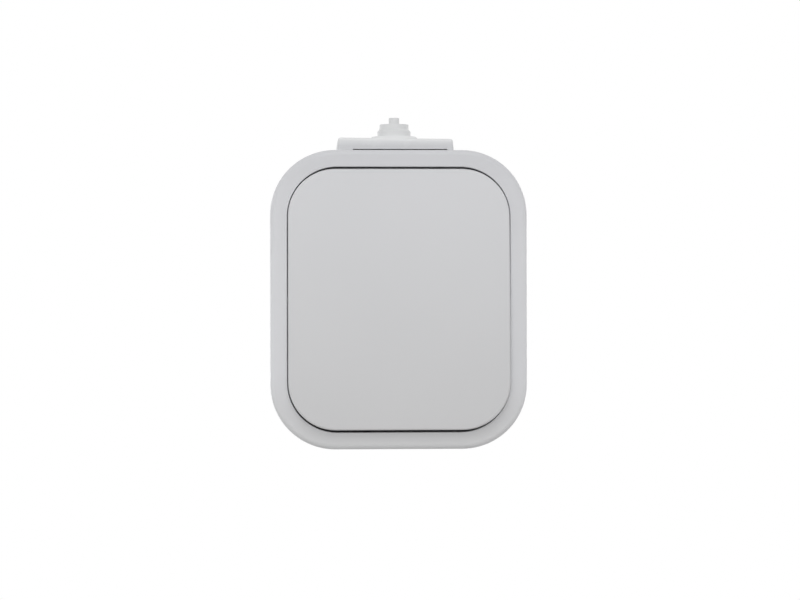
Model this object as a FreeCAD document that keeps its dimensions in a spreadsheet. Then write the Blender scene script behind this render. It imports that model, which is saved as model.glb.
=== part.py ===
import FreeCAD, Part
import math
import os

import Sketcher

# Outdoor surface switch with one large rocker and a rubber cable entry on top.
# X runs to the right seen from the front, Z runs up and the front faces -Y.
# The wall is the plane Y = 0. A depth is a distance out from the wall, so Y = -depth.
# The origin is the centre of the four wall fixings.

DIMENSIONS = (
    ("cover_width", 70.0, "cover, left to right"),
    ("cover_height", 81.5, "cover, bottom to top"),
    ("cover_corner", 17.7, "corner radius of the cover outline"),
    ("cover_back", 24.0, "depth of the skirt's rear edge"),
    ("cover_wall", 1.9, "skirt wall"),
    ("cover_edge", 1.5, "rounding of the front outer edge"),
    ("bezel_width", 4.65, "bezel round the opening"),
    ("bezel_thickness", 2.0, "wall behind the bezel face"),
    ("opening_edge", 0.25, "rounding of the opening's edge"),
    ("opening_ease", 0.5, "opening corner, beyond an even bezel"),
    ("well_wall", 1.65, "wall between the opening and the bezel groove"),
    ("well_depth", 9.5, "bezel face to well floor"),
    ("floor_thickness", 2.5, "well floor"),
    ("rocker_side_gap", 0.23, "rocker to opening, left and right"),
    ("rocker_end_gap", 0.6, "rocker to opening, top and bottom"),
    ("rocker_drop", 0.05, "rocker plate below its trunnion axis"),
    ("face_rise", 1.65, "level rocker's ends in front of the bezel"),
    ("rocker_crown", 1.0, "rocker's middle in front of its ends"),
    ("axis_drop", 2.4, "trunnion axis behind the bezel face"),
    ("rocker_skin", 1.6, "rocker face thickness at its ends"),
    ("rocker_skirt", 5.5, "rocker side height, face included"),
    ("rocker_wall", 1.6, "rocker side thickness"),
    ("rocker_edge", 0.5, "rounding of the rocker's front edge"),
    ("rocker_rib", 1.2, "ribs behind the rocker face"),
    ("rib_height", 2.4, "height of those ribs"),
    ("rocker_tilt", 3.0, "degrees from level at rest, top pressed in"),
    ("trunnion_diameter", 2.8, "rocker pins"),
    ("trunnion_length", 1.6, "pin length out of the rocker side"),
    ("trunnion_boss", 0.8, "lug wall round a pin"),
    ("running_fit", 0.05, "radial clearance of pins and journals"),
    ("leg_width", 6.0, "drive leg, left to right"),
    ("leg_height", 5.4, "drive leg, bottom to top"),
    ("fork_clearance", 0.1, "fork prong to dolly stem"),
    ("fork_overlap", 1.3, "prong length past the stem's centre"),
    ("fork_room", 0.6, "stem to the bottom of the fork"),
    ("seal_room", 0.5, "drive leg to seal, over the swing of the leg"),
    ("seal_wall", 1.45, "seal neck"),
    ("seal_flange", 1.5, "seal flange beyond the neck"),
    ("seal_back", 0.8, "rear flange thickness"),
    ("seal_collar", 1.6, "front splash collar height"),
    ("box_clearance", 0.2, "skirt to box"),
    ("box_wall", 2.2, "box side wall"),
    ("box_back", 2.4, "box back wall"),
    ("back_land", 3.0, "flat rim round the recessed back"),
    ("back_recess", 0.8, "recess inside that rim"),
    ("fixing_width", 40.0, "wall fixings, left to right"),
    ("fixing_height", 52.0, "wall fixings, bottom to top"),
    ("fixing_slot", 4.5, "width of a fixing slot"),
    ("fixing_length", 9.0, "length of a fixing slot"),
    ("fixing_pad", 2.25, "pad round a fixing slot"),
    ("fixing_pad_height", 1.0, "that pad inside the box"),
    ("post_diameter", 7.0, "screw posts"),
    ("knockout_diameter", 16.0, "knock-out disc in the lower wall"),
    ("knockout_groove", 1.0, "width of the groove round that disc"),
    ("knockout_depth", 1.3, "depth of that groove"),
    ("gasket_width", 1.3, "cover gasket strip"),
    ("gasket_thickness", 2.0, "cover gasket, box rim to well floor"),
    ("cover_screw_inset", 4.5, "cover screws inside the opening"),
    ("screw_shank", 2.6, "screw shank"),
    ("screw_length", 12.0, "shank inside its post"),
    ("screw_room", 0.05, "shank to hole, radially"),
    ("cover_head", 6.0, "cover screw head"),
    ("cover_head_height", 2.2, "cover screw head height"),
    ("driver_slot", 0.9, "screw slot width"),
    ("driver_depth", 1.1, "screw slot depth"),
    ("washer_seat", 1.0, "counterbore in the well floor"),
    ("washer_thickness", 0.8, "sealing washer"),
    ("washer_width", 6.4, "sealing washer, outside"),
    ("boss_wall", 2.4, "wall round a cover screw hole"),
    ("strap_depth", 24.0, "depth of the strap's rear face"),
    ("strap_thickness", 1.0, "steel strap"),
    ("strap_margin", 3.5, "strap tab past its screw"),
    ("strap_tab", 12.0, "strap tab width"),
    ("strap_screw_z", 26.0, "strap screws from the middle"),
    ("strap_head", 5.5, "strap screw head"),
    ("strap_head_height", 1.8, "strap screw head height"),
    ("block_width", 34.0, "contact block, left to right"),
    ("block_height", 38.0, "contact block, bottom to top"),
    ("block_corner", 1.5, "contact block corner"),
    ("block_rear", 7.0, "depth of the block's rear face"),
    ("block_floor", 2.5, "block floor"),
    ("chamber_width", 10.0, "contact chamber, left to right"),
    ("chamber_room", 0.7, "terminal strip to the chamber's end"),
    ("rivet_inset", 2.5, "rivets from the block's side"),
    ("rivet_z", 6.0, "rivets from the middle line"),
    ("rivet_shank", 2.4, "rivet shank"),
    ("rivet_depth", 6.0, "rivet length inside the block"),
    ("rivet_head", 4.2, "rivet head"),
    ("rivet_head_height", 0.9, "rivet head height"),
    ("bridge_thickness", 2.0, "bridge plate"),
    ("bridge_opening", 22.0, "bridge and strap opening, bottom to top"),
    ("ear_thickness", 2.2, "bearing ear"),
    ("ear_wall", 0.95, "ear wall round the journal hole"),
    ("ear_room", 0.3, "dolly barrel to ear"),
    ("ear_clearance", 0.7, "ear to drive seal"),
    ("dolly_rise", 1.0, "dolly's axis in front of the bridge"),
    ("barrel_length", 10.4, "dolly barrel"),
    ("barrel_diameter", 4.6, "dolly barrel"),
    ("journal_diameter", 3.0, "dolly journals"),
    ("stem_reach", 4.0, "dolly axis to stem end"),
    ("stem_end", 2.0, "rounded stem end"),
    ("stem_neck", 1.2, "stem thickness"),
    ("stem_width", 5.0, "stem, left to right"),
    ("tube_diameter", 5.4, "dolly tube"),
    ("tube_length", 10.0, "dolly axis to tube end"),
    ("bore_diameter", 3.7, "plunger bore"),
    ("bore_end", 1.6, "dolly axis to the bore's bottom"),
    ("plunger_room", 0.05, "plunger to bore, radially"),
    ("plunger_tail", 6.8, "dolly axis to the plunger's tail"),
    ("nose_radius", 1.2, "plunger nose"),
    ("nose_taper", 1.25, "taper behind the nose"),
    ("nose_gap", 0.15, "nose to level lever"),
    ("spring_wire", 0.5, "spring wire"),
    ("spring_room", 0.2, "spring to bore, radially"),
    ("spring_turns", 5.0, "coils"),
    ("fulcrum_height", 3.7, "lever's axis in front of the chamber floor"),
    ("lever_tilt", 6.0, "degrees, the bend of each arm and the tilt at rest"),
    ("lever_thickness", 0.8, "lever strip"),
    ("lever_width", 5.0, "lever strip width"),
    ("lever_room", 2.0, "contact arm to the chamber's end"),
    ("lever_lower", 8.5, "free arm"),
    ("lever_pin", 1.2, "lever pins"),
    ("fulcrum_room", 0.4, "lever edge to fulcrum post"),
    ("fulcrum_post", 1.0, "fulcrum post thickness"),
    ("fulcrum_wall", 0.95, "post wall beside the notch"),
    ("contact_inset", 2.0, "contacts from the arm's end"),
    ("contact_head", 3.2, "contact rivet head"),
    ("contact_shank", 1.6, "contact rivet shank"),
    ("contact_height", 1.0, "moving contact head height"),
    ("contact_tail", 0.3, "moving contact, closed end"),
    ("contact_gap", 0.1, "gap between closed contacts"),
    ("terminal_plate", 0.8, "terminal strip thickness"),
    ("terminal_strip", 3.6, "terminal strip width"),
    ("bay_overlap", 0.2, "clamp bay into the chamber"),
    ("bay_wall", 0.8, "block wall beyond a clamp bay"),
    ("tab_width", 5.0, "terminal tab"),
    ("tab_height", 7.5, "terminal tab, strip included"),
    ("clamp_width", 7.0, "clamp cage, both ways"),
    ("clamp_depth", 7.0, "clamp cage along the wire"),
    ("clamp_wall", 0.8, "clamp sheet"),
    ("clamp_room", 0.2, "clamp to tab, strip and block"),
    ("clamp_screw", 3.0, "clamp screw shank"),
    ("clamp_head", 5.0, "clamp screw head"),
    ("clamp_head_height", 1.6, "clamp screw head height"),
    ("clamp_travel", 2.5, "clamp screw inside the cage"),
    ("wire_hole", 3.4, "wire entry"),
    ("gland_gap", 0.5, "gland cap to the cover's rear edge"),
    ("gland_depth", 21.5, "gland cap, front to back"),
    ("gland_width", 32.3, "gland cap at its top"),
    ("gland_flare", 0.5, "cap wider at its foot, each side"),
    ("gland_height", 6.7, "cap's top above the box, at the middle"),
    ("gland_fall", 0.35, "fall of the cap's top, left to right"),
    ("gland_edge", 0.8, "rounding of the cap"),
    ("gland_fit", 0.1, "gland to turret and window"),
    ("turret_width", 26.4, "raised seat, left to right"),
    ("turret_depth", 19.0, "raised seat, front to back"),
    ("turret_height", 3.1, "raised seat above the box"),
    ("turret_corner", 2.0, "corner of the raised seat"),
    ("window_width", 18.0, "cable window"),
    ("window_depth", 12.0, "cable window, front to back"),
    ("slot_height", 0.55, "shadow slot under the cap's front"),
    ("slot_depth", 5.0, "shadow slot, front to back"),
    ("slot_shift", 1.3, "shadow slot right of the middle"),
    ("lip_overlap", 1.6, "gland lip past the window"),
    ("lip_thickness", 1.6, "gland lip"),
    ("collar_diameter", 14.0, "gland collar"),
    ("collar_height", 1.0, "gland collar above the cap"),
    ("collar_bevel", 0.7, "gland collar bevel"),
    ("ring_diameter", 9.5, "lower gland ring"),
    ("ring_height", 2.1, "lower gland ring"),
    ("ring_bevel", 0.6, "lower gland ring bevel"),
    ("tip_diameter", 8.3, "upper gland ring"),
    ("tip_height", 1.4, "upper gland ring"),
    ("nub_diameter", 3.0, "gland nub"),
    ("nub_height", 1.9, "gland nub"),
    ("cable_bore", 6.6, "bore inside the gland"),
    ("bore_cover", 1.0, "closed end over that bore"),
)

document = FreeCAD.newDocument("outdoor_switch")
sheet = document.addObject("Spreadsheet::Sheet", "sizes")


class Size:
    """A number together with the sheet formula that gives it."""

    def __init__(self, value, formula):
        self.value = float(value)
        self.formula = formula

    def combined(self, other, sign, value):
        return Size(value, f"({self.formula} {sign} {other.formula})")

    def __add__(self, other):
        other = as_size(other)
        return self.combined(other, "+", self.value + other.value)

    def __sub__(self, other):
        other = as_size(other)
        return self.combined(other, "-", self.value - other.value)

    def __mul__(self, other):
        other = as_size(other)
        return self.combined(other, "*", self.value * other.value)

    def __truediv__(self, other):
        other = as_size(other)
        return self.combined(other, "/", self.value / other.value)

    def __radd__(self, other):
        return as_size(other) + self

    def __rsub__(self, other):
        return as_size(other) - self

    def __rmul__(self, other):
        return as_size(other) * self

    def __neg__(self):
        return Size(-self.value, f"(0 - {self.formula})")


def as_size(number):
    return number if isinstance(number, Size) else Size(number, f"({number})")


def sine(angle):
    return Size(math.sin(math.radians(angle.value)), f"sin({angle.formula})")


def cosine(angle):
    return Size(math.cos(math.radians(angle.value)), f"cos({angle.formula})")


class Sizes:
    """The sheet's aliases as Size values."""

    def __init__(self, rows):
        for row, (name, value, note) in enumerate(rows, 1):
            sheet.set(f"A{row}", name)
            sheet.set(f"B{row}", str(value))
            sheet.set(f"C{row}", note)
            sheet.setAlias(f"B{row}", name)
            setattr(self, name, Size(value, f"sizes.{name}"))


size = Sizes(DIMENSIONS)
document.recompute()

# Sizes that several pieces share. Depths first, from the strap out to the rocker.
strap_front = size.strap_depth + size.strap_thickness
bridge_front = strap_front + size.bridge_thickness
dolly_axis = bridge_front + size.dolly_rise
ear_half = size.journal_diameter / 2 + size.running_fit + size.ear_wall
floor_back = dolly_axis + ear_half + size.ear_clearance + size.seal_back
well_floor = floor_back + size.floor_thickness
box_rim = floor_back - size.gasket_thickness
cover_front = well_floor + size.well_depth
rocker_axis = cover_front - size.axis_drop
rocker_face = cover_front + size.face_rise
washer_floor = well_floor - size.washer_seat
washer_front = washer_floor + size.washer_thickness
chamber_floor = size.block_rear + size.block_floor
plate_front = chamber_floor + size.terminal_plate
lever_axis = chamber_floor + size.fulcrum_height
clamp_rear = plate_front + size.clamp_room
clamp_middle = clamp_rear + size.clamp_depth / 2
gland_front = size.cover_back - size.gland_gap
gland_axis = gland_front - size.gland_depth / 2

# Outlines and places seen from the front
opening_x = size.cover_width / 2 - size.bezel_width
opening_z = size.cover_height / 2 - size.bezel_width
opening_corner = size.cover_corner - size.bezel_width + size.opening_ease
box_inset = size.cover_wall + size.box_clearance
box_x = size.cover_width / 2 - box_inset
box_z = size.cover_height / 2 - box_inset
box_corner = size.cover_corner - box_inset
turret_top = box_z + size.turret_height
gland_top = box_z + size.gland_height
cover_screw_x = opening_x - size.cover_screw_inset
strap_reach = size.strap_screw_z + size.strap_margin
bridge_hole_x = size.barrel_length / 2 + size.ear_room
rivet_x = size.block_width / 2 - size.rivet_inset
bay_half = size.clamp_width / 2 + size.clamp_room
terminal_x = size.chamber_width / 2 - size.bay_overlap + bay_half
terminal_z = size.block_height / 2 - size.bay_wall - bay_half
tab_z = terminal_z - size.clamp_width / 2 + size.clamp_wall + size.clamp_room
tab_end = tab_z + size.terminal_plate
chamber_z = tab_end + size.chamber_room
lever_upper = chamber_z - size.lever_room
contact_reach = lever_upper - size.contact_inset

# The drive from rocker to dolly
fork_reach = rocker_axis - dolly_axis - size.stem_reach
dolly_tilt = size.rocker_tilt * fork_reach / size.stem_reach
leg_swing = (fork_reach + size.fork_overlap) * sine(size.rocker_tilt)
seal_hole_x = size.leg_width / 2 + size.seal_room
seal_hole_z = size.leg_height / 2 + leg_swing + size.seal_room


def bind(thing, path, amount):
    thing.setExpression(path, as_size(amount).formula)


def new_body(label):
    body = document.addObject("PartDesign::Body", label)
    body.Label = label
    body.AllowCompound = True
    return body


def origin_part(body, role):
    return [part for part in body.Origin.OriginFeatures if part.Role == role][0]


def sketch_on(body, plane, x=0, y=0, out=0):
    """An empty sketch on an origin plane, its own origin moved to x, y and out along the normal."""
    sketch = body.newObject("Sketcher::SketchObject", f"{body.Name}_sketch")
    sketch.AttachmentSupport = [(origin_part(body, plane), "")]
    sketch.MapMode = "FlatFace"
    bind(sketch, "AttachmentOffset.Base.x", x)
    bind(sketch, "AttachmentOffset.Base.y", y)
    bind(sketch, "AttachmentOffset.Base.z", out)
    return sketch


def front_sketch(body, depth):
    """Seen from the front: sketch x is X, sketch y is Z, and the normal points out of the wall."""
    return sketch_on(body, "XZ_Plane", out=depth)


def constrain(sketch, kind, geometry, point, amount):
    amount = as_size(amount)
    index = sketch.addConstraint(Sketcher.Constraint(kind, geometry, point, amount.value))
    sketch.setExpression(f"Constraints[{index}]", amount.formula)


def place_point(sketch, geometry, point, x, y):
    constrain(sketch, "DistanceX", geometry, point, x)
    constrain(sketch, "DistanceY", geometry, point, y)


def vector(x, y):
    return FreeCAD.Vector(as_size(x).value, as_size(y).value, 0)


def outline(sketch, corners):
    """A closed line through (x, y) corners, anticlockwise. A third entry is the centre of an
    anticlockwise arc that leads to that corner."""
    first = sketch.GeometryCount
    count = len(corners)
    for index, corner in enumerate(corners):
        start = vector(*corners[index - 1][:2])
        end = vector(*corner[:2])
        if len(corner) == 2:
            sketch.addGeometry(Part.LineSegment(start, end))
            continue
        centre = vector(*corner[2])
        circle_line = Part.Circle(centre, FreeCAD.Vector(0, 0, 1), (end - centre).Length)
        angles = [math.atan2((point - centre).y, (point - centre).x) for point in (start, end)]
        sketch.addGeometry(Part.ArcOfCircle(circle_line, *angles))
    for index in range(count):
        following = first + (index + 1) % count
        sketch.addConstraint(Sketcher.Constraint("Coincident", first + index, 2, following, 1))
    for index, corner in enumerate(corners):
        place_point(sketch, first + index, 2, *corner[:2])
        if len(corner) == 3:
            level = abs(vector(*corner[:2]).y - vector(*corners[index - 1][:2]).y) < 1e-6
            kind, amount = ("DistanceY", corner[2][1]) if level else ("DistanceX", corner[2][0])
            constrain(sketch, kind, first + index, 3, amount)


def rectangle(sketch, left, right, low, high):
    outline(sketch, [(right, low), (right, high), (left, high), (left, low)])


def rounded_rectangle(sketch, half_x, half_y, radius, middle=(0, 0)):
    x, y = (as_size(value) for value in middle)
    left, right = x - half_x, x + half_x
    low, high = y - half_y, y + half_y
    inner_left, inner_right = left + radius, right - radius
    inner_low, inner_high = low + radius, high - radius
    outline(sketch, [
        (right, inner_low, (inner_right, inner_low)),
        (right, inner_high),
        (inner_right, high, (inner_right, inner_high)),
        (inner_left, high),
        (left, inner_high, (inner_left, inner_high)),
        (left, inner_low),
        (inner_left, low, (inner_left, inner_low)),
        (inner_right, low),
    ])


def circle(sketch, x, y, diameter):
    radius = as_size(diameter) / 2
    index = sketch.addGeometry(Part.Circle(vector(x, y), FreeCAD.Vector(0, 0, 1), radius.value))
    place_point(sketch, index, 3, x, y)
    number = sketch.addConstraint(Sketcher.Constraint("Diameter", index, 2 * radius.value))
    sketch.setExpression(f"Constraints[{number}]", (radius * 2).formula)


def volume_of(body):
    document.recompute()
    return body.Shape.Volume


def pad(body, sketch, length):
    feature = body.newObject("PartDesign::Pad", f"{body.Name}_pad")
    feature.Profile = sketch
    bind(feature, "Length", length)
    body.Tip = feature
    return feature


def pocket(body, sketch, length, forwards=False):
    """A cut against the sketch's normal, or along it when forwards is set."""
    before = volume_of(body)
    feature = body.newObject("PartDesign::Pocket", f"{body.Name}_pocket")
    feature.Profile = sketch
    feature.Reversed = forwards
    bind(feature, "Length", length)
    body.Tip = feature
    if volume_of(body) >= before:
        raise ValueError(f"{body.Label}: a pocket cuts nothing")
    return feature


def turned(body, sketch, kind="PartDesign::Revolution"):
    """The sketch turned about its own vertical axis, added or cut away."""
    feature = body.newObject(kind, f"{body.Name}_turned")
    feature.Profile = sketch
    feature.ReferenceAxis = (sketch, ["V_Axis"])
    feature.Angle = 360
    body.Tip = feature
    return feature


def bored(body, sketch):
    before = volume_of(body)
    feature = turned(body, sketch, "PartDesign::Groove")
    if volume_of(body) >= before:
        raise ValueError(f"{body.Label}: a groove cuts nothing")
    return feature


def mirrored(body, plane, features):
    feature = body.newObject("PartDesign::Mirrored", f"{body.Name}_mirrored")
    feature.Originals = features
    feature.MirrorPlane = (origin_part(body, plane), [""])
    body.Tip = feature
    return feature


def turned_copy(body, features):
    """A second copy, half a turn about the Y axis."""
    feature = body.newObject("PartDesign::PolarPattern", f"{body.Name}_pair")
    feature.Originals = features
    feature.Axis = (origin_part(body, "Y_Axis"), [""])
    feature.Angle = 360
    feature.Occurrences = 2
    body.Tip = feature
    return feature


def rounded(body, radius, wanted):
    """Round the edges of the body's tip that the wanted function accepts."""
    document.recompute()
    base = body.Tip
    names = [f"Edge{number}" for number, edge in enumerate(base.Shape.Edges, 1) if wanted(edge)]
    feature = body.newObject("PartDesign::Fillet", f"{body.Name}_fillet")
    feature.Base = (base, names)
    bind(feature, "Radius", radius)
    body.Tip = feature
    return feature


def at_depth(edge, depth):
    box = edge.BoundBox
    return max(abs(box.YMin + depth.value), abs(box.YMax + depth.value)) < 1e-4


def hang(body, depth, angle, top_in):
    """Stand a body that was drawn about its own pivot at its depth, tilted as it rests."""
    body.Placement = FreeCAD.Placement(
        FreeCAD.Vector(), FreeCAD.Rotation(FreeCAD.Vector(-1 if top_in else 1, 0, 0), 1.0))
    bind(body, "Placement.Base.y", -depth)
    bind(body, "Placement.Rotation.Angle", angle)


def fixing_places():
    return [(x, z) for x in (-size.fixing_width / 2, size.fixing_width / 2)
            for z in (-size.fixing_height / 2, size.fixing_height / 2)]


def cover_screw_places():
    return [(-cover_screw_x, 0), (cover_screw_x, 0)]


def strap_screw_places():
    return [(0, -size.strap_screw_z), (0, size.strap_screw_z)]


def rivet_places():
    return [(x, z) for x in (-rivet_x, rivet_x) for z in (-size.rivet_z, size.rivet_z)]


def circles(sketch, places, diameter):
    for x, z in places:
        circle(sketch, x, z, diameter)


def slots(sketch, places, width, length):
    """Round-ended slots, left to right."""
    radius, reach = width / 2, (length - width) / 2
    for x, z in places:
        outline(sketch, [
            (x + reach, z + radius, (x + reach, z)),
            (x - reach, z + radius),
            (x - reach, z - radius, (x - reach, z)),
            (x + reach, z - radius),
        ])


def back_box():
    body = new_body("back_box")
    shell = front_sketch(body, 0)
    rounded_rectangle(shell, box_x, box_z, box_corner)
    pad(body, shell, box_rim)

    seat = sketch_on(body, "XY_Plane", y=-gland_axis, out=box_z - size.box_wall)
    rounded_rectangle(seat, size.turret_width / 2, size.turret_depth / 2, size.turret_corner)
    pad(body, seat, turret_top - box_z + size.box_wall)

    inside = front_sketch(body, box_rim)
    rounded_rectangle(inside, box_x - size.box_wall, box_z - size.box_wall, box_corner - size.box_wall)
    pocket(body, inside, box_rim - size.box_back)

    for places, top in ((strap_screw_places(), size.strap_depth), (cover_screw_places(), box_rim)):
        posts = front_sketch(body, size.box_back)
        circles(posts, places, size.post_diameter)
        pad(body, posts, top - size.box_back)
        holes = front_sketch(body, top)
        circles(holes, places, size.screw_shank + size.screw_room * 2)
        pocket(body, holes, size.screw_length)

    recess = front_sketch(body, 0)
    rounded_rectangle(recess, box_x - size.back_land, box_z - size.back_land, box_corner - size.back_land)
    pocket(body, recess, size.back_recess, forwards=True)
    pad_front = size.box_back + size.fixing_pad_height
    pads = front_sketch(body, 0)
    slots(pads, fixing_places(), size.fixing_slot + size.fixing_pad * 2,
          size.fixing_length + size.fixing_pad * 2)
    pad(body, pads, pad_front)
    fixings = front_sketch(body, 0)
    slots(fixings, fixing_places(), size.fixing_slot, size.fixing_length)
    pocket(body, fixings, pad_front, forwards=True)

    window = sketch_on(body, "XY_Plane", y=-gland_axis, out=turret_top)
    rounded_rectangle(window, size.window_width / 2, size.window_depth / 2, size.turret_corner)
    pocket(body, window, turret_top - box_z + size.box_wall)
    knockout = sketch_on(body, "XY_Plane", y=-size.cover_back / 2, out=-box_z)
    circle(knockout, 0, 0, size.knockout_diameter)
    circle(knockout, 0, 0, size.knockout_diameter + size.knockout_groove * 2)
    pocket(body, knockout, size.knockout_depth, forwards=True)
    return body


def cable_gland():
    body = new_body("cable_gland")
    half_top = size.gland_width / 2
    half_foot = half_top + size.gland_flare
    cap = front_sketch(body, gland_axis - size.gland_depth / 2)
    outline(cap, [
        (half_foot, box_z),
        (half_top, gland_top - size.gland_fall / 2),
        (-half_top, gland_top + size.gland_fall / 2),
        (-half_foot, box_z),
    ])
    pad(body, cap, size.gland_depth)
    low_corner = (gland_top - size.gland_fall).value
    rounded(body, size.gland_edge, lambda edge: edge.BoundBox.ZMax > low_corner)

    saddle_x = size.turret_width / 2 + size.gland_fit
    saddle = front_sketch(body, gland_front)
    rectangle(saddle, -saddle_x, saddle_x, box_z - size.gland_edge, turret_top)
    pocket(body, saddle, size.gland_depth)
    shadow = front_sketch(body, gland_front)
    rectangle(shadow, size.slot_shift - saddle_x, size.slot_shift + saddle_x,
              turret_top - size.gland_edge, turret_top + size.slot_height)
    pocket(body, shadow, size.slot_depth)

    lip_top = box_z - size.box_wall - size.gland_fit
    neck_x = size.window_width / 2 - size.gland_fit
    neck_y = size.window_depth / 2 - size.gland_fit
    neck = sketch_on(body, "XY_Plane", y=-gland_axis, out=lip_top)
    rounded_rectangle(neck, neck_x, neck_y, size.turret_corner)
    pad(body, neck, turret_top + size.slot_height - lip_top)
    lip = sketch_on(body, "XY_Plane", y=-gland_axis, out=lip_top - size.lip_thickness)
    rounded_rectangle(lip, neck_x + size.lip_overlap, neck_y + size.lip_overlap,
                      size.turret_corner + size.lip_overlap)
    pad(body, lip, size.lip_thickness)

    collar_top = gland_top + size.collar_height
    ring_top = collar_top + size.ring_height
    tip_top = ring_top + size.tip_height
    nipple = front_sketch(body, gland_axis)
    outline(nipple, [
        (0, gland_top - size.gland_fall),
        (size.collar_diameter / 2, gland_top - size.gland_fall),
        (size.collar_diameter / 2, collar_top - size.collar_bevel),
        (size.collar_diameter / 2 - size.collar_bevel, collar_top),
        (size.ring_diameter / 2, collar_top),
        (size.ring_diameter / 2, ring_top - size.ring_bevel),
        (size.tip_diameter / 2, ring_top),
        (size.tip_diameter / 2, tip_top),
        (size.nub_diameter / 2, tip_top),
        (size.nub_diameter / 2, tip_top + size.nub_height),
        (0, tip_top + size.nub_height),
    ])
    turned(body, nipple)
    bore = front_sketch(body, gland_axis)
    rectangle(bore, 0, size.cable_bore / 2, lip_top - size.lip_thickness, tip_top - size.bore_cover)
    bored(body, bore)
    return body


def cover_frame():
    body = new_body("cover_frame")
    half_x, half_z = size.cover_width / 2, size.cover_height / 2
    shell = front_sketch(body, size.cover_back)
    rounded_rectangle(shell, half_x, half_z, size.cover_corner)
    pad(body, shell, cover_front - size.cover_back)
    rounded(body, size.cover_edge, lambda edge: at_depth(edge, cover_front))

    well = front_sketch(body, cover_front)
    rounded_rectangle(well, opening_x, opening_z, opening_corner)
    pocket(body, well, cover_front - well_floor)
    inside_bezel = (opening_x + size.bezel_width / 2).value

    def on_opening(edge):
        widest = max(edge.BoundBox.XMax, -edge.BoundBox.XMin)
        return at_depth(edge, cover_front) and widest < inside_bezel

    rounded(body, size.opening_edge, on_opening)

    skirt_x, skirt_z = half_x - size.cover_wall, half_z - size.cover_wall
    skirt_corner = size.cover_corner - size.cover_wall
    cavity = front_sketch(body, size.cover_back)
    rounded_rectangle(cavity, skirt_x, skirt_z, skirt_corner)
    pocket(body, cavity, floor_back - size.cover_back, forwards=True)
    groove = front_sketch(body, floor_back)
    rounded_rectangle(groove, skirt_x, skirt_z, skirt_corner)
    rounded_rectangle(groove, opening_x + size.well_wall, opening_z + size.well_wall,
                      opening_corner + size.well_wall)
    pocket(body, groove, cover_front - size.bezel_thickness - floor_back, forwards=True)

    screw_hole = size.screw_shank + size.screw_room * 2
    bosses = front_sketch(body, box_rim)
    circles(bosses, cover_screw_places(), screw_hole + size.boss_wall * 2)
    pad(body, bosses, floor_back - box_rim)
    seats = front_sketch(body, well_floor)
    circles(seats, cover_screw_places(), size.washer_width + size.screw_room * 2)
    pocket(body, seats, size.washer_seat)
    holes = front_sketch(body, well_floor)
    circles(holes, cover_screw_places(), screw_hole)
    pocket(body, holes, well_floor - box_rim)

    aperture = front_sketch(body, well_floor)
    rounded_rectangle(aperture, seal_hole_x + size.seal_wall, seal_hole_z + size.seal_wall, size.seal_flange)
    pocket(body, aperture, size.floor_thickness)

    bearing = sketch_on(body, "YZ_Plane", out=opening_x - size.rocker_side_gap)
    circle(bearing, -rocker_axis, 0, size.trunnion_diameter + size.running_fit * 2)
    right = pocket(body, bearing, size.rocker_side_gap + size.well_wall, forwards=True)
    mirrored(body, "YZ_Plane", [right])
    return body


def cover_gasket():
    body = new_body("cover_gasket")
    strip = front_sketch(body, box_rim)
    outer_x, outer_z = opening_x + size.well_wall, opening_z + size.well_wall
    outer_corner = opening_corner + size.well_wall
    rounded_rectangle(strip, outer_x, outer_z, outer_corner)
    rounded_rectangle(strip, outer_x - size.gasket_width, outer_z - size.gasket_width,
                      outer_corner - size.gasket_width)
    pad(body, strip, floor_back - box_rim)
    return body


def headed_screw(body, sketch, under_head, head, head_height, tip):
    """A screw along Y in a sketch whose vertical axis is the screw's own axis."""
    shank = size.screw_shank / 2
    outline(sketch, [
        (0, -(under_head + head_height)),
        (head / 2, -(under_head + head_height)),
        (head / 2, -under_head),
        (shank, -under_head),
        (shank, -(tip + shank)),
        (0, -tip),
    ])
    return turned(body, sketch)


def cover_screws():
    body = new_body("cover_screws")
    sketch = sketch_on(body, "XY_Plane", x=cover_screw_x)
    screw = headed_screw(body, sketch, washer_front, size.cover_head, size.cover_head_height,
                         box_rim - size.screw_length)
    slot = front_sketch(body, washer_front + size.cover_head_height)
    rectangle(slot, cover_screw_x - size.cover_head / 2, cover_screw_x + size.cover_head / 2,
              -size.driver_slot / 2, size.driver_slot / 2)
    cut = pocket(body, slot, size.driver_depth)
    mirrored(body, "YZ_Plane", [screw, cut])
    return body


def screw_seals():
    body = new_body("screw_seals")
    washers = front_sketch(body, washer_floor)
    circles(washers, cover_screw_places(), size.washer_width)
    circles(washers, cover_screw_places(), size.screw_shank + size.screw_room * 2)
    pad(body, washers, size.washer_thickness)
    return body


def drive_seal():
    body = new_body("drive_seal")
    neck_x, neck_z = seal_hole_x + size.seal_wall, seal_hole_z + size.seal_wall
    flange_x, flange_z = neck_x + size.seal_flange, neck_z + size.seal_flange
    rear = front_sketch(body, floor_back - size.seal_back)
    rounded_rectangle(rear, flange_x, flange_z, size.seal_flange * 2)
    pad(body, rear, size.seal_back)
    neck = front_sketch(body, floor_back)
    rounded_rectangle(neck, neck_x, neck_z, size.seal_flange)
    pad(body, neck, size.floor_thickness)
    collar = front_sketch(body, well_floor)
    rounded_rectangle(collar, flange_x, flange_z, size.seal_flange * 2)
    pad(body, collar, size.seal_collar)
    hole = front_sketch(body, well_floor + size.seal_collar)
    rectangle(hole, -seal_hole_x, seal_hole_x, -seal_hole_z, seal_hole_z)
    pocket(body, hole, size.seal_collar + size.floor_thickness + size.seal_back)
    return body


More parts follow.
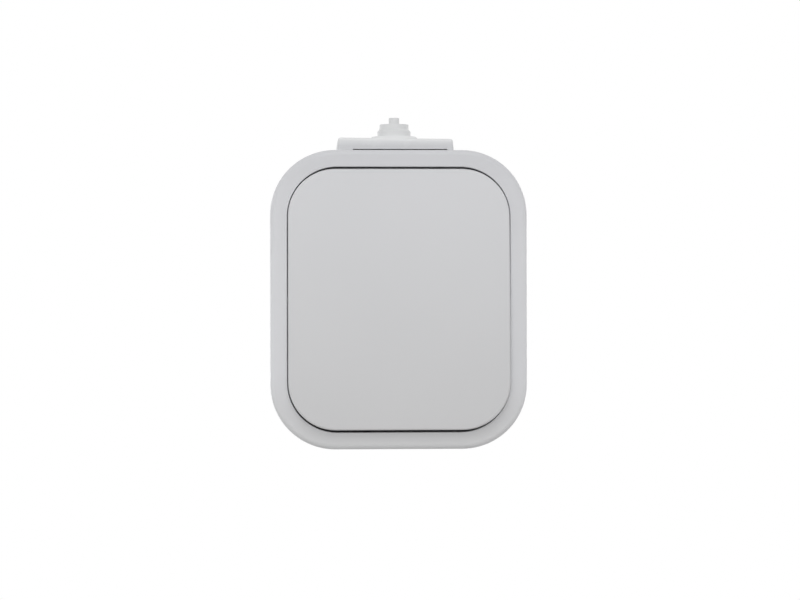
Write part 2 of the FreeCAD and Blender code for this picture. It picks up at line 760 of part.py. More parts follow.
def rocker():
    """Drawn level about its trunnion axis, then tipped to its rest."""
    body = new_body("rocker")
    half_x, half_z = opening_x - size.rocker_side_gap, opening_z - size.rocker_end_gap
    corner = opening_corner - size.rocker_end_gap
    middle = (0, -size.rocker_drop)
    face = rocker_face - rocker_axis
    crest = face + size.rocker_crown
    rear = face - size.rocker_skirt
    skin_back = face - size.rocker_skin
    shell = front_sketch(body, rear)
    rounded_rectangle(shell, half_x, half_z, corner, middle)
    pad(body, shell, crest - rear)
    crown_radius = (opening_z * opening_z / size.rocker_crown + size.rocker_crown) / 2
    crown = sketch_on(body, "YZ_Plane", y=-size.rocker_drop, out=half_x)
    outline(crown, [
        (-face, -opening_z, (crown_radius - crest, 0)),
        (-crest - size.rocker_crown, -opening_z),
        (-crest - size.rocker_crown, opening_z),
        (-face, opening_z),
    ])
    pocket(body, crown, half_x * 2)
    rounded(body, size.rocker_edge, lambda edge: edge.BoundBox.YMax < -skin_back.value)
    inside = front_sketch(body, rear)
    rounded_rectangle(inside, half_x - size.rocker_wall, half_z - size.rocker_wall,
                      corner - size.rocker_wall, middle)
    pocket(body, inside, size.rocker_skirt - size.rocker_skin, forwards=True)

    ribs = front_sketch(body, skin_back - size.rib_height)
    reach_x, reach_z = half_x - size.rocker_wall / 2, half_z - size.rocker_drop - size.rocker_wall / 2
    half_rib = size.rocker_rib / 2
    outline(ribs, [
        (reach_x, -half_rib), (reach_x, half_rib), (half_rib, half_rib), (half_rib, reach_z),
        (-half_rib, reach_z), (-half_rib, half_rib), (-reach_x, half_rib), (-reach_x, -half_rib),
        (-half_rib, -half_rib), (-half_rib, -reach_z), (half_rib, -reach_z), (half_rib, -half_rib),
    ])
    pad(body, ribs, size.rib_height)

    boss = size.trunnion_diameter / 2 + size.trunnion_boss
    lug = sketch_on(body, "YZ_Plane", out=half_x - size.rocker_wall)
    outline(lug, [(0, -boss), (0, boss, (0, 0)), (-skin_back, boss), (-skin_back, -boss)])
    right_lug = pad(body, lug, size.rocker_wall)
    pin = sketch_on(body, "YZ_Plane", out=half_x)
    circle(pin, 0, 0, size.trunnion_diameter)
    right_pin = pad(body, pin, size.trunnion_length)
    mirrored(body, "YZ_Plane", [right_lug, right_pin])

    leg_end = fork_reach + size.fork_overlap
    leg = front_sketch(body, -leg_end)
    rectangle(leg, -size.leg_width / 2, size.leg_width / 2, -size.leg_height / 2, size.leg_height / 2)
    pad(body, leg, leg_end + skin_back)
    half_slot = size.stem_end / 2 + size.fork_clearance
    fork = front_sketch(body, -leg_end)
    rectangle(fork, -size.leg_width / 2, size.leg_width / 2, -half_slot, half_slot)
    pocket(body, fork, size.fork_overlap + size.stem_end / 2 + size.fork_room, forwards=True)
    hang(body, rocker_axis, size.rocker_tilt, top_in=True)
    return body


def contact_block():
    body = new_body("contact_block")
    solid = front_sketch(body, size.block_rear)
    rounded_rectangle(solid, size.block_width / 2, size.block_height / 2, size.block_corner)
    pad(body, solid, size.strap_depth - size.block_rear)
    open_depth = size.strap_depth - chamber_floor
    chamber = front_sketch(body, size.strap_depth)
    rectangle(chamber, -size.chamber_width / 2, size.chamber_width / 2,
              -chamber_z, chamber_z)
    pocket(body, chamber, open_depth)

    bay = front_sketch(body, size.strap_depth)
    rectangle(bay, -terminal_x - bay_half, -size.chamber_width / 2 + size.clamp_wall,
              -terminal_z - bay_half, -terminal_z + bay_half + size.clamp_width / 4)
    bay_cut = pocket(body, bay, open_depth)
    wire = front_sketch(body, chamber_floor)
    circle(wire, -terminal_x, -terminal_z, size.wire_hole)
    wire_cut = pocket(body, wire, size.block_floor)
    driver = sketch_on(body, "XY_Plane", out=-size.block_height / 2)
    circle(driver, -terminal_x, -clamp_middle, size.clamp_head + size.clamp_room * 2)
    driver_cut = pocket(body, driver, size.block_height / 2 - terminal_z - size.clamp_width / 2,
                        forwards=True)
    turned_copy(body, [bay_cut, wire_cut, driver_cut])
    holes = front_sketch(body, size.strap_depth)
    circles(holes, rivet_places(), size.rivet_shank + size.screw_room * 2)
    pocket(body, holes, size.rivet_depth)
    return body


def mounting_strap():
    body = new_body("mounting_strap")
    plate = front_sketch(body, size.strap_depth)
    wide, tall = size.block_width / 2, size.block_height / 2
    tab, reach = size.strap_tab / 2, strap_reach
    outline(plate, [
        (wide, -tall), (wide, tall), (tab, tall), (tab, reach), (-tab, reach), (-tab, tall),
        (-wide, tall), (-wide, -tall), (-tab, -tall), (-tab, -reach), (tab, -reach), (tab, -tall),
    ])
    rectangle(plate, -bridge_hole_x, bridge_hole_x, -size.bridge_opening / 2, size.bridge_opening / 2)
    circles(plate, strap_screw_places(), size.screw_shank + size.screw_room * 2)
    circles(plate, rivet_places(), size.rivet_shank + size.screw_room * 2)
    pad(body, plate, size.strap_thickness)
    return body


def strap_screws():
    body = new_body("strap_screws")
    sketch = sketch_on(body, "XY_Plane", out=size.strap_screw_z)
    screw = headed_screw(body, sketch, strap_front, size.strap_head, size.strap_head_height,
                         size.strap_depth - size.screw_length)
    slot = front_sketch(body, strap_front + size.strap_head_height)
    rectangle(slot, -size.strap_head / 2, size.strap_head / 2,
              size.strap_screw_z - size.driver_slot / 2, size.strap_screw_z + size.driver_slot / 2)
    cut = pocket(body, slot, size.driver_depth)
    mirrored(body, "XY_Plane", [screw, cut])
    return body


def strap_rivets():
    body = new_body("strap_rivets")
    sketch = sketch_on(body, "XY_Plane", x=-rivet_x, out=-size.rivet_z)
    outline(sketch, [
        (0, -(bridge_front + size.rivet_head_height)),
        (size.rivet_head / 2, -(bridge_front + size.rivet_head_height)),
        (size.rivet_head / 2, -bridge_front),
        (size.rivet_shank / 2, -bridge_front),
        (size.rivet_shank / 2, size.rivet_depth - size.strap_depth),
        (0, size.rivet_depth - size.strap_depth),
    ])
    rivet = turned(body, sketch)
    grid = body.newObject("PartDesign::LinearPattern", "rivet_grid")
    grid.Originals = [rivet]
    grid.Direction = (origin_part(body, "X_Axis"), [""])
    grid.Occurrences = 2
    bind(grid, "Length", rivet_x * 2)
    grid.Direction2 = (origin_part(body, "Z_Axis"), [""])
    grid.Occurrences2 = 2
    bind(grid, "Length2", size.rivet_z * 2)
    body.Tip = grid
    return body


def pivot_bridge():
    body = new_body("pivot_bridge")
    plate = front_sketch(body, strap_front)
    rounded_rectangle(plate, size.block_width / 2, size.block_height / 2, size.block_corner)
    rectangle(plate, -bridge_hole_x, bridge_hole_x, -size.bridge_opening / 2, size.bridge_opening / 2)
    circles(plate, rivet_places(), size.rivet_shank + size.screw_room * 2)
    pad(body, plate, size.bridge_thickness)
    ear = sketch_on(body, "YZ_Plane", out=bridge_hole_x)
    outline(ear, [
        (-dolly_axis, -ear_half, (-dolly_axis, 0)),
        (-strap_front, -ear_half),
        (-strap_front, ear_half),
        (-dolly_axis, ear_half),
    ])
    right_ear = pad(body, ear, size.ear_thickness)
    hole = sketch_on(body, "YZ_Plane", out=bridge_hole_x + size.ear_thickness)
    circle(hole, -dolly_axis, 0, size.journal_diameter + size.running_fit * 2)
    right_hole = pocket(body, hole, size.ear_thickness)
    mirrored(body, "YZ_Plane", [right_ear, right_hole])
    return body


def dolly():
    """Drawn about its own axis with the stem to the front and the tube to the wall."""
    body = new_body("dolly")
    journal_end = bridge_hole_x + size.ear_thickness
    barrel, journal = size.barrel_diameter, size.journal_diameter
    for half, diameter in ((size.barrel_length / 2, barrel), (journal_end, journal)):
        sketch = sketch_on(body, "YZ_Plane", out=-half)
        circle(sketch, 0, 0, diameter)
        pad(body, sketch, half * 2)
    neck = sketch_on(body, "YZ_Plane", out=-size.stem_width / 2)
    rectangle(neck, -size.stem_reach, 0, -size.stem_neck / 2, size.stem_neck / 2)
    pad(body, neck, size.stem_width)
    end = sketch_on(body, "YZ_Plane", out=-size.stem_width / 2)
    circle(end, -size.stem_reach, 0, size.stem_end)
    pad(body, end, size.stem_width)
    tube = sketch_on(body, "XY_Plane")
    rectangle(tube, 0, size.tube_diameter / 2, 0, size.tube_length)
    turned(body, tube)
    bore = sketch_on(body, "XY_Plane")
    rectangle(bore, 0, size.bore_diameter / 2, size.bore_end, size.tube_length)
    bored(body, bore)
    hang(body, dolly_axis, dolly_tilt, top_in=False)
    return body


def spring_plunger():
    body = new_body("spring_plunger")
    radius = size.bore_diameter / 2 - size.plunger_room
    tip = dolly_axis - lever_axis - size.lever_thickness / 2 - size.nose_gap
    nose = tip - size.nose_radius
    taper = nose - size.nose_taper
    profile = sketch_on(body, "XY_Plane")
    outline(profile, [
        (0, size.plunger_tail),
        (radius, size.plunger_tail),
        (radius, taper),
        (size.nose_radius, nose),
        (0, tip, (0, nose)),
    ])
    turned(body, profile)
    hang(body, dolly_axis, dolly_tilt, top_in=False)
    return body


def dolly_spring():
    body = new_body("dolly_spring")
    middle = size.bore_diameter / 2 - size.spring_room - size.spring_wire / 2
    wire = sketch_on(body, "XY_Plane")
    half_wire = size.spring_wire / 2
    start = size.bore_end + half_wire + size.plunger_room
    wire_sides = 8
    angles = [as_size(360 * side / wire_sides) for side in range(wire_sides)]
    outline(wire, [(middle + half_wire * cosine(angle), start + half_wire * sine(angle))
                   for angle in angles])
    coil = body.newObject("PartDesign::AdditiveHelix", "coil")
    coil.Profile = wire
    coil.ReferenceAxis = (wire, ["V_Axis"])
    coil.Mode = "height-turns-angle"
    bind(coil, "Height", size.plunger_tail - half_wire - size.plunger_room - start)
    bind(coil, "Turns", size.spring_turns)
    body.Tip = coil
    hang(body, dolly_axis, dolly_tilt, top_in=False)
    return body


def contact_lever():
    """A bent strip about its own pins. Its contact arm stands parallel to the wall at rest."""
    body = new_body("contact_lever")
    across, along = sine(size.lever_tilt), cosine(size.lever_tilt)
    half = size.lever_thickness / 2
    valley = Size(half.value / along.value, f"({half.formula} / {along.formula})")

    def arm_end(reach, side, up):
        return (side * half * along - reach * across, up * (reach * along + side * half * across))

    strip = sketch_on(body, "YZ_Plane", out=-size.lever_width / 2)
    outline(strip, [
        (valley, 0),
        arm_end(lever_upper, 1, 1),
        arm_end(lever_upper, -1, 1),
        (-valley, 0),
        arm_end(size.lever_lower, -1, -1),
        arm_end(size.lever_lower, 1, -1),
    ])
    pad(body, strip, size.lever_width)
    pin = sketch_on(body, "YZ_Plane", out=size.lever_width / 2)
    circle(pin, 0, 0, size.lever_pin)
    right_pin = pad(body, pin, size.fulcrum_room + size.fulcrum_post)
    mirrored(body, "YZ_Plane", [right_pin])
    hole = sketch_on(body, "XZ_Plane", y=contact_reach * along, out=contact_reach * across)
    hole.AttachmentOffset = FreeCAD.Placement(
        hole.AttachmentOffset.Base, FreeCAD.Rotation(FreeCAD.Vector(1, 0, 0), 1.0))
    bind(hole, "AttachmentOffset.Rotation.Angle", size.lever_tilt)
    circle(hole, 0, 0, size.contact_shank)
    cut = pocket(body, hole, size.lever_thickness * 2)
    cut.Midplane = True
    hang(body, lever_axis, size.lever_tilt, top_in=True)
    return body


def lever_contact():
    body = new_body("lever_contact")
    half = size.lever_thickness / 2
    rivet = sketch_on(body, "XY_Plane", out=contact_reach)
    outline(rivet, [
        (0, -(lever_axis + half + size.contact_tail)),
        (size.contact_shank / 2 + size.contact_tail, -(lever_axis + half + size.contact_tail)),
        (size.contact_shank / 2 + size.contact_tail, -(lever_axis + half)),
        (size.contact_shank / 2, -(lever_axis + half)),
        (size.contact_shank / 2, half - lever_axis),
        (size.contact_head / 2, half - lever_axis),
        (size.contact_head / 2, half + size.contact_height - lever_axis),
        (0, half + size.contact_height - lever_axis),
    ])
    turned(body, rivet)
    return body


def fixed_contact():
    body = new_body("fixed_contact")
    face = lever_axis - size.lever_thickness / 2 - size.contact_height - size.contact_gap
    rivet = sketch_on(body, "XY_Plane", out=contact_reach)
    outline(rivet, [
        (0, -face),
        (size.contact_head / 2, -face),
        (size.contact_head / 2, -plate_front),
        (size.contact_shank / 2, -plate_front),
        (size.contact_shank / 2, -chamber_floor),
        (0, -chamber_floor),
    ])
    turned(body, rivet)
    return body


def terminal_tab(body, side):
    """The end of a terminal strip, turned up inside its clamp. Side is -1 or 1."""
    left = side * terminal_x - size.tab_width / 2
    right = side * terminal_x + size.tab_width / 2
    tab = front_sketch(body, chamber_floor)
    low, high = (tab_z, tab_end) if side > 0 else (-tab_end, -tab_z)
    rectangle(tab, left, right, low, high)
    return pad(body, tab, size.tab_height)


def common_terminal():
    body = new_body("common_terminal")
    inner = size.lever_width / 2 + size.fulcrum_room
    outer = inner + size.fulcrum_post
    half_post = size.lever_pin / 2 + size.running_fit + size.fulcrum_wall
    strip = size.terminal_strip / 2
    left = terminal_x + size.tab_width / 2
    plate = front_sketch(body, chamber_floor)
    outline(plate, [
        (outer, -half_post), (outer, half_post), (-outer, half_post), (-outer, -half_post),
        (-strip, -half_post), (-strip, size.terminal_strip - tab_end),
        (-left, size.terminal_strip - tab_end), (-left, -tab_end), (strip, -tab_end), (strip, -half_post),
    ])
    pad(body, plate, size.terminal_plate)
    terminal_tab(body, -1)
    post = sketch_on(body, "YZ_Plane", out=inner)
    rectangle(post, -(lever_axis + size.lever_pin / 2), -chamber_floor, -half_post, half_post)
    right_post = pad(body, post, size.fulcrum_post)
    notch_radius = size.lever_pin / 2 + size.running_fit
    notch = sketch_on(body, "YZ_Plane", out=outer)
    outline(notch, [
        (-lever_axis, -notch_radius),
        (-lever_axis, notch_radius, (-lever_axis, 0)),
        (-(lever_axis + size.lever_pin), notch_radius),
        (-(lever_axis + size.lever_pin), -notch_radius),
    ])
    right_notch = pocket(body, notch, size.fulcrum_post)
    mirrored(body, "YZ_Plane", [right_post, right_notch])
    return body


def switched_terminal():
    body = new_body("switched_terminal")
    half = size.lever_width / 2
    right = terminal_x + size.tab_width / 2
    low = contact_reach - half
    plate = front_sketch(body, chamber_floor)
    outline(plate, [
        (half, low), (half, tab_end - size.terminal_strip), (right, tab_end - size.terminal_strip),
        (right, tab_end), (-half, tab_end), (-half, low),
    ])
    circle(plate, 0, contact_reach, size.contact_shank)
    pad(body, plate, size.terminal_plate)
    terminal_tab(body, 1)
    return body


def terminal_clamps():
    body = new_body("terminal_clamps")
    half = size.clamp_width / 2
    inner = half - size.clamp_wall
    x, z = -terminal_x, -terminal_z
    cage = front_sketch(body, clamp_rear)
    rectangle(cage, x - half, x + half, z - half, z + half)
    rectangle(cage, x - inner, x + inner, z - inner, z + inner)
    sheet_ring = pad(body, cage, size.clamp_depth)
    hole = sketch_on(body, "XY_Plane", out=z - half)
    circle(hole, x, -clamp_middle, size.clamp_screw + size.screw_room * 2)
    thread = pocket(body, hole, size.clamp_wall, forwards=True)
    turned_copy(body, [sheet_ring, thread])
    return body


def terminal_screws():
    body = new_body("terminal_screws")
    seat = -(terminal_z + size.clamp_width / 2)
    shank = size.clamp_screw / 2
    tip = seat + size.clamp_wall + size.clamp_travel
    sketch = sketch_on(body, "XZ_Plane", x=-terminal_x, out=clamp_middle)
    under = seat - size.clamp_room
    outline(sketch, [
        (0, under - size.clamp_head_height),
        (size.clamp_head / 2, under - size.clamp_head_height),
        (size.clamp_head / 2, under),
        (shank, under),
        (shank, tip),
        (0, tip),
    ])
    screw = turned(body, sketch)
    slot = sketch_on(body, "XY_Plane", out=under - size.clamp_head_height)
    rectangle(slot, -terminal_x - size.clamp_head / 2, size.clamp_head / 2 - terminal_x,
              -clamp_middle - size.driver_slot / 2, size.driver_slot / 2 - clamp_middle)
    cut = pocket(body, slot, size.driver_depth, forwards=True)
    turned_copy(body, [screw, cut])
    return body


BUILDERS = (
    back_box, cable_gland, cover_frame, cover_gasket, cover_screws, screw_seals, drive_seal, rocker,
    contact_block, mounting_strap, strap_screws, strap_rivets, pivot_bridge, dolly, dolly_spring,
    spring_plunger, contact_lever, lever_contact, fixed_contact, common_terminal, switched_terminal,
    terminal_clamps, terminal_screws,
)

bodies = [build() for build in BUILDERS]
document.recompute()

for thing in document.Objects:
    if {"Invalid", "Error"} & set(thing.State):
        raise RuntimeError(f"{thing.Label} did not build: {thing.State}")
for body in bodies:
    if body.Shape.isNull() or not body.Shape.isValid():
        raise RuntimeError(f"{body.Label} has no sound shape")

os.makedirs("parts", exist_ok=True)
for body in bodies:
    body.Shape.exportStep(f"parts/{body.Label}.step")
    print(f"{body.Label}: {len(body.Shape.Solids)} solids, {body.Shape.Volume:.1f} mm3")
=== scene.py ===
import math

import bpy
from mathutils import Matrix, Vector


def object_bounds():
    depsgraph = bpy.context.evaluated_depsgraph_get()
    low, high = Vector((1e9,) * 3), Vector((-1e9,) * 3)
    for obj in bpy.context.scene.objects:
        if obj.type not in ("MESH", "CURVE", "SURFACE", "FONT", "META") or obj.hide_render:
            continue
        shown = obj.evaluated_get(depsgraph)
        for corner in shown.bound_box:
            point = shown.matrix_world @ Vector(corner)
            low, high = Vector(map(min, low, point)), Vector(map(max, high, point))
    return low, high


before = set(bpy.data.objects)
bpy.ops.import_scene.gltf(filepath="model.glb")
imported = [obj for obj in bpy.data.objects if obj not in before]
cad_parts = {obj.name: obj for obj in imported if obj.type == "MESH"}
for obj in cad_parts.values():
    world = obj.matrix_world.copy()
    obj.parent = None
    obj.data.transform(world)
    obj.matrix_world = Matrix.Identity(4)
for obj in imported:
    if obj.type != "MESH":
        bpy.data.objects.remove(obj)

cadLow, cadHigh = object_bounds()
scene = bpy.context.scene
scene.view_settings.view_transform = "Standard"
print("frame loaded:", len(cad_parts), "nodes")


class Wire:
    # a node socket that can be used in sums

    def __init__(self, tree, socket):
        self.tree = tree
        self.socket = socket

    def __add__(self, other):
        return self.tree.sum("ADD", self, other)

    def __radd__(self, other):
        return self.tree.sum("ADD", other, self)

    def __sub__(self, other):
        return self.tree.sum("SUBTRACT", self, other)

    def __rsub__(self, other):
        return self.tree.sum("SUBTRACT", other, self)

    def __mul__(self, other):
        return self.tree.sum("MULTIPLY", self, other)

    def __rmul__(self, other):
        return self.tree.sum("MULTIPLY", other, self)


class Tree:
    # the node tree of a material or of the world

    def __init__(self, owner):
        owner.use_nodes = True
        self.nodes = owner.node_tree.nodes
        self.links = owner.node_tree.links
        self.nodes.clear()

    def node(self, kind, settings=None, sockets=None, out=0):
        made = self.nodes.new("ShaderNode" + kind)
        for name, value in (settings or {}).items():
            if name == "stops":
                for index, (place, tint) in enumerate(value):
                    stops = made.color_ramp.elements
                    stop = stops[index] if index < len(stops) else stops.new(place)
                    stop.position = place
                    stop.color = tint
            else:
                setattr(made, name, value)
        for name, value in (sockets or {}).items():
            if isinstance(value, Wire):
                self.links.new(value.socket, made.inputs[name])
            else:
                made.inputs[name].default_value = value
        return Wire(self, made.outputs[out]) if made.outputs else None

    def sum(self, operation, first, second):
        return self.node("Math", {"operation": operation}, {0: first, 1: second})

    def clamped(self, value):
        return self.node("Clamp", None, {"Value": value})

    def noise(self, place, scale, detail, rough=0.5):
        return self.node("TexNoise", None, {"Vector": place, "Scale": scale, "Detail": detail,
                                            "Roughness": rough})

    def between(self, factor, first, second):
        # two colours, each a wire or red, green and blue
        ends = [end if isinstance(end, Wire) else (*end, 1) for end in (first, second)]
        return self.node("Mix", {"data_type": "RGBA"}, {0: factor, 6: ends[0], 7: ends[1]}, 2)

    def along(self, place, axis):
        return self.node("SeparateXYZ", None, {0: place}, axis)

    def rise(self, value, start, end):
        return self.clamped((value - start) * (1 / (end - start)))

    def bump(self, height, distance, strength):
        return self.node("Bump", None, {"Height": height, "Distance": distance, "Strength": strength})


noiseMiddle = 0.5  # noise swings evenly about this value


def finishOf(name):
    material = bpy.data.materials.new(name)
    tree = Tree(material)
    place = tree.node("TexCoord", out="Object")
    return material, tree, place


def paintShadeTowardsEnd(tree, place, clouds, tint, end):
    # painted shade: towards some ends the colour drifts to a darker tint that stands in for shade
    paintedShadeTint = tree.between(clouds, end["dark"], end["light"])
    return tree.between(tree.rise(tree.along(place, "Z"), end["full"], end["none"]), paintedShadeTint, tint)


def cloudyTint(tree, place, clouds, look):
    tint = tree.between(clouds, look["dark"], look["light"])
    # each listed end paints shade into the tint
    for end in look.get("ends", []):
        tint = paintShadeTowardsEnd(tree, place, clouds, tint, end)
    return tint


def surface(tree, sockets):
    shader = tree.node("BsdfPrincipled", None, sockets)
    tree.node("OutputMaterial", None, {"Surface": shader})


def dress(material, nodes):
    for name in nodes:
        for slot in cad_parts[name].material_slots:
            slot.material = material


# Moulded plastic: slow clouds in the colour, a fine spark-eroded grain and a few polished patches

coverPlastic = {
    "name": "coverPlastic", "nodes": ["cover_frame"],
    "dark": (0.649, 0.652, 0.670), "light": (0.691, 0.694, 0.711),
    "cloudScale": 34, "grainScale": 2600, "grainHeight": 0.000012, "grainStrength": 0.22,
    "rough": 0.48, "roughSpread": 0.10, "ior": 1.49,
    # painted shade: the cover's colour darkens towards its top end and its bottom end
    "ends": [
        {"dark": (0.580, 0.584, 0.604), "light": (0.618, 0.621, 0.640), "full": 0.036, "none": 0.010},
        {"dark": (0.606, 0.606, 0.612), "light": (0.645, 0.645, 0.650), "full": -0.037, "none": -0.020},
    ],
}

rockerPlastic = {
    "name": "rockerPlastic", "nodes": ["rocker"],
    "dark": (0.606, 0.610, 0.626), "light": (0.644, 0.647, 0.663),
    "cloudScale": 26, "grainScale": 2400, "grainHeight": 0.000014, "grainStrength": 0.25,
    "rough": 0.48, "roughSpread": 0.12, "ior": 1.49,
    # painted shade: the rocker's colour darkens steadily from its top end to its bottom end
    "ends": [
        {"dark": (0.556, 0.556, 0.562), "light": (0.590, 0.590, 0.596), "full": -0.034, "none": 0.034},
    ],
}

boxPlastic = {
    "name": "boxPlastic", "nodes": ["back_box"],
    "dark": (0.560, 0.563, 0.578), "light": (0.612, 0.615, 0.630),
    "cloudScale": 40, "grainScale": 1700, "grainHeight": 0.00003, "grainStrength": 0.35,
    "rough": 0.50, "roughSpread": 0.14, "ior": 1.49,
}

innerPlastic = {
    "name": "innerPlastic", "nodes": ["contact_block", "pivot_bridge", "dolly", "spring_plunger"],
    "dark": (0.27, 0.275, 0.285), "light": (0.33, 0.335, 0.345),
    "cloudScale": 60, "grainScale": 1900, "grainHeight": 0.00002, "grainStrength": 0.3,
    "rough": 0.48, "roughSpread": 0.15, "ior": 1.52,
}

# what all the plastics share
plasticNoise = {
    "cloudDetail": 3, "grainDetail": 2, "grainRough": 0.6, "grainGloss": 0.08,
    "patchFiner": 4, "patchDetail": 4, "patchRough": 0.6,
}


def mouldPlastic(look):
    shared = plasticNoise
    material, tree, place = finishOf(look["name"])
    clouds = tree.noise(place, look["cloudScale"], shared["cloudDetail"])
    grain = tree.noise(place, look["grainScale"], shared["grainDetail"], shared["grainRough"])
    patches = tree.noise(place, look["cloudScale"] * shared["patchFiner"], shared["patchDetail"],
                         shared["patchRough"])
    rough = (look["rough"] + (patches - noiseMiddle) * look["roughSpread"]
             + (grain - noiseMiddle) * shared["grainGloss"])
    surface(tree, {"Base Color": cloudyTint(tree, place, clouds, look),
                   "Roughness": tree.clamped(rough), "IOR": look["ior"],
                   "Normal": tree.bump(grain, look["grainHeight"], look["grainStrength"])})
    dress(material, look["nodes"])


for look in (coverPlastic, rockerPlastic, boxPlastic, innerPlastic):
    mouldPlastic(look)
print("plastics done")


# Soft rubber: a pale entry on top and dark seals inside, both with a dry bloom

glandRubber = {
    "name": "glandRubber", "nodes": ["cable_gland"],
    "dark": (0.715, 0.721, 0.727), "light": (0.768, 0.774, 0.778), "bloom": (0.78, 0.784, 0.787),
    "cloudScale": 70, "grainScale": 1500, "grainHeight": 0.00003, "rough": 0.56,
    # painted shade and light: the cap below and the rings above the collar are darkened, so the collar
    # stands out lighter
    "ends": [
        {"dark": (0.572, 0.578, 0.592), "light": (0.618, 0.624, 0.637), "full": 0.0433, "none": 0.0450},
        {"dark": (0.650, 0.656, 0.661), "light": (0.700, 0.706, 0.709), "full": 0.0470, "none": 0.0463},
    ],
}

sealRubber = {
    "name": "sealRubber", "nodes": ["cover_gasket", "screw_seals", "drive_seal"],
    "dark": (0.035, 0.035, 0.038), "light": (0.055, 0.055, 0.06), "bloom": (0.10, 0.10, 0.105),
    "cloudScale": 90, "grainScale": 1600, "grainHeight": 0.00003, "rough": 0.62,
}

# what both rubbers share
rubberNoise = {
    "cloudDetail": 3, "grainDetail": 3, "grainRough": 0.6, "grainStrength": 0.3,
    "dustFiner": 3, "dustDetail": 5, "dustRough": 0.65, "dustGloss": 0.2,
    "bloomFrom": 0.55, "bloomGain": 1.6, "ior": 1.5,
}


def softRubber(look):
    shared = rubberNoise
    material, tree, place = finishOf(look["name"])
    clouds = tree.noise(place, look["cloudScale"], shared["cloudDetail"])
    grain = tree.noise(place, look["grainScale"], shared["grainDetail"], shared["grainRough"])
    dust = tree.noise(place, look["cloudScale"] * shared["dustFiner"], shared["dustDetail"],
                      shared["dustRough"])
    powder = tree.clamped((dust - shared["bloomFrom"]) * shared["bloomGain"])
    tint = tree.between(powder, cloudyTint(tree, place, clouds, look), look["bloom"])
    rough = look["rough"] + (dust - noiseMiddle) * shared["dustGloss"]
    surface(tree, {"Base Color": tint, "Roughness": tree.clamped(rough), "IOR": shared["ior"],
                   "Normal": tree.bump(grain, look["grainHeight"], shared["grainStrength"])})
    dress(material, look["nodes"])


for look in (glandRubber, sealRubber):
    softRubber(look)
print("rubbers done")


# Metals inside: plated steel, pressed brass and silver contact faces

platedSteel = {
    "name": "platedSteel",
    "nodes": ["cover_screws", "mounting_strap", "strap_screws", "strap_rivets", "dolly_spring",
              "terminal_clamps", "terminal_screws"],
    "dark": (0.52, 0.53, 0.55), "light": (0.68, 0.69, 0.70), "stain": (0.40, 0.40, 0.41),
    "brush": (900, 120, 900), "rough": 0.30,
}

terminalBrass = {
    "name": "terminalBrass", "nodes": ["contact_lever", "common_terminal", "switched_terminal"],
    "dark": (0.62, 0.45, 0.19), "light": (0.76, 0.58, 0.28), "stain": (0.42, 0.29, 0.13),
    "brush": (700, 140, 1400), "rough": 0.28,
}

contactSilver = {
    "name": "contactSilver", "nodes": ["lever_contact", "fixed_contact"],
    "dark": (0.70, 0.70, 0.68), "light": (0.84, 0.84, 0.82), "stain": (0.50, 0.49, 0.46),
    "brush": (1100, 1100, 1100), "rough": 0.24,
}

# what all the metals share
metalNoise = {
    "streakScale": 1, "patchScale": 240, "detail": 4, "noiseRough": 0.6,
    "tarnishFrom": 0.56, "tarnishGain": 2.2, "tarnishGloss": 0.2,
    "streakGloss": 0.14, "streakHeight": 0.00001, "streakStrength": 0.25,
}


def wroughtMetal(look):
    shared = metalNoise
    material, tree, place = finishOf(look["name"])
    drawn = tree.node("Mapping", None, {"Vector": place, "Scale": look["brush"]})
    streaks = tree.noise(drawn, shared["streakScale"], shared["detail"], shared["noiseRough"])
    patches = tree.noise(place, shared["patchScale"], shared["detail"], shared["noiseRough"])
    tarnish = tree.clamped((patches - shared["tarnishFrom"]) * shared["tarnishGain"])
    bright = tree.between(streaks, look["dark"], look["light"])
    rough = look["rough"] + streaks * shared["streakGloss"] + tarnish * shared["tarnishGloss"]
    surface(tree, {"Base Color": tree.between(tarnish, bright, look["stain"]), "Metallic": 1.0,
                   "Roughness": tree.clamped(rough),
                   "Normal": tree.bump(streaks, shared["streakHeight"], shared["streakStrength"])})
    dress(material, look["nodes"])


for look in (platedSteel, terminalBrass, contactSilver):
    wroughtMetal(look)
print("metals done")


# Stage: a pale floor well below the switch, and a soft sky that lens and reflections see as white

stage = {
    "floorDrop": 0.30, "floorSize": 3.0, "floorTint": (0.50, 0.50, 0.50), "floorGlow": 0.75,
    "floorRough": 0.5, "speckScale": 300, "speckDetail": 3, "speckShade": 0.98,
    "skyUp": 0.82, "skyLevel": 0.34, "skyDown": 0.07,
}


def seenDirectly(tree):
    camera = tree.node("LightPath", out="Is Camera Ray")
    glossy = tree.node("LightPath", out="Is Glossy Ray")
    through = tree.node("LightPath", out="Is Transmission Ray")
    return tree.clamped(camera + glossy + through)


def makeFloor():
    half = stage["floorSize"] / 2
    height = cadLow.z - stage["floorDrop"]
    mesh = bpy.data.meshes.new("floor")
    mesh.from_pydata([(-half, -half, height), (half, -half, height), (half, half, height),
                      (-half, half, height)], [], [(0, 1, 2, 3)])
    floor = bpy.data.objects.new("floor", mesh)
    scene.collection.objects.link(floor)
    material, tree, place = finishOf("paleFloor")
    speck = tree.noise(place, stage["speckScale"], stage["speckDetail"])
    shade = [part * stage["speckShade"] for part in stage["floorTint"]]
    tint = tree.between(speck, shade, stage["floorTint"])
    matt = tree.node("BsdfDiffuse", None, {"Color": tint, "Roughness": stage["floorRough"]})
    glow = tree.node("Emission", None, {"Strength": stage["floorGlow"]})
    lit = tree.node("AddShader", None, {0: matt, 1: glow})
    shader = tree.node("MixShader", None, {0: seenDirectly(tree), 1: matt, 2: lit})
    tree.node("OutputMaterial", None, {"Surface": shader})
    mesh.materials.append(material)


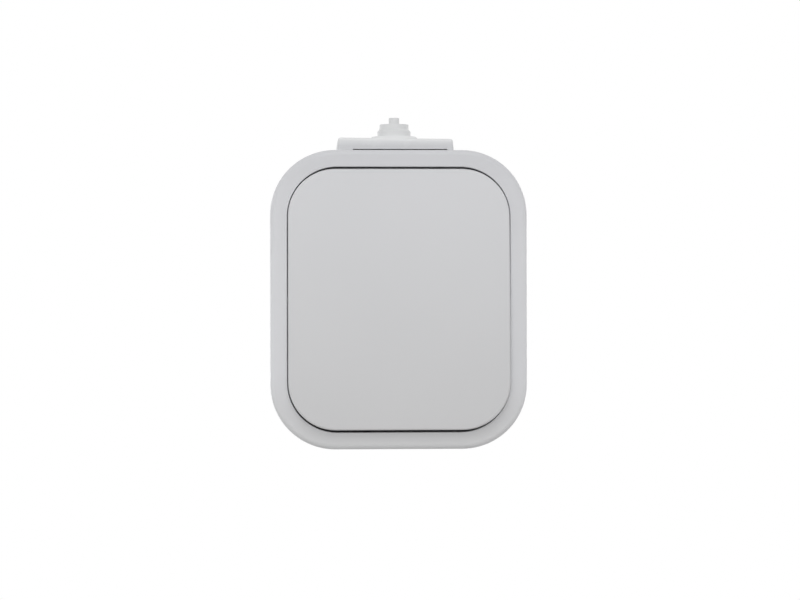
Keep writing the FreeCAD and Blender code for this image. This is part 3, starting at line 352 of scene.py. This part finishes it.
def makeSurround():
    world = bpy.data.worlds.new("surround")
    scene.world = world
    tree = Tree(world)
    height = tree.along(tree.node("TexCoord", out="Generated"), "Z")
    levels = (stage["skyDown"], stage["skyLevel"], stage["skyUp"])
    stops = [(index / 2, (level, level, level, 1)) for index, level in enumerate(levels)]
    soft = tree.node("ValToRGB", {"stops": stops}, {"Fac": height * 0.5 + 0.5})  # -1 to 1 becomes 0 to 1
    sky = tree.node("Background", None, {"Color": soft, "Strength": 1.0})
    white = tree.node("Background", None, {"Color": (1, 1, 1, 1), "Strength": 1.0})
    shader = tree.node("MixShader", None, {0: seenDirectly(tree), 1: sky, 2: white})
    tree.node("OutputWorld", None, {"Surface": shader})


makeFloor()
makeSurround()
print("stage done")


# Lights: a soft box in front, one above it, a weak one at each side and two behind

lamps = {
    "front": {"at": (-0.05, -0.95, 0.10), "size": (0.60, 0.25), "watts": 1.78},
    "above": {"at": (-0.05, -0.60, 0.45), "size": (0.60, 0.40), "watts": 1.02},
    "left": {"at": (-0.60, -0.24, 0.0), "size": (0.35, 0.50), "watts": 0.72},
    "right": {"at": (0.60, -0.24, 0.05), "size": (0.35, 0.50), "watts": 0.57},
    "behindLeft": {"at": (-0.40, 0.50, 0.02), "size": (0.40, 0.40), "watts": 1.0},
    "behindRight": {"at": (0.40, 0.50, 0.02), "size": (0.40, 0.40), "watts": 1.0},
}
lampsAim = (0, -0.03, 0)


def makeLamp(name, look):
    data = bpy.data.lights.new(name, "AREA")
    data.shape = "RECTANGLE"
    data.size, data.size_y = look["size"]
    data.energy = look["watts"]
    lamp = bpy.data.objects.new(name, data)
    lamp.location = look["at"]
    toSwitch = Vector(lampsAim) - lamp.location
    lamp.rotation_euler = toSwitch.to_track_quat("-Z", "Y").to_euler()
    scene.collection.objects.link(lamp)


for name, look in lamps.items():
    makeLamp(name, look)
print("lamps done")


# Camera: square on, a little to the left, at the switch's mid height

lens = {
    "at": (-0.027, -0.664, 0.0), "towards": (0.00026, -0.044, -0.00012), "roll": -0.10,
    "focal": 102.75, "sensor": 36.0, "nearest": 0.01,
}


def makeCamera():
    data = bpy.data.cameras.new("camera")
    data.lens = lens["focal"]
    data.sensor_width = lens["sensor"]
    data.clip_start = lens["nearest"]
    camera = bpy.data.objects.new("camera", data)
    sight = Vector(lens["towards"]) - Vector(lens["at"])
    turn = sight.to_track_quat("-Z", "Y").to_matrix().to_4x4()
    roll = Matrix.Rotation(math.radians(lens["roll"]), 4, "Z")
    camera.matrix_world = Matrix.Translation(lens["at"]) @ turn @ roll
    scene.collection.objects.link(camera)
    scene.camera = camera


makeCamera()
print("camera done")
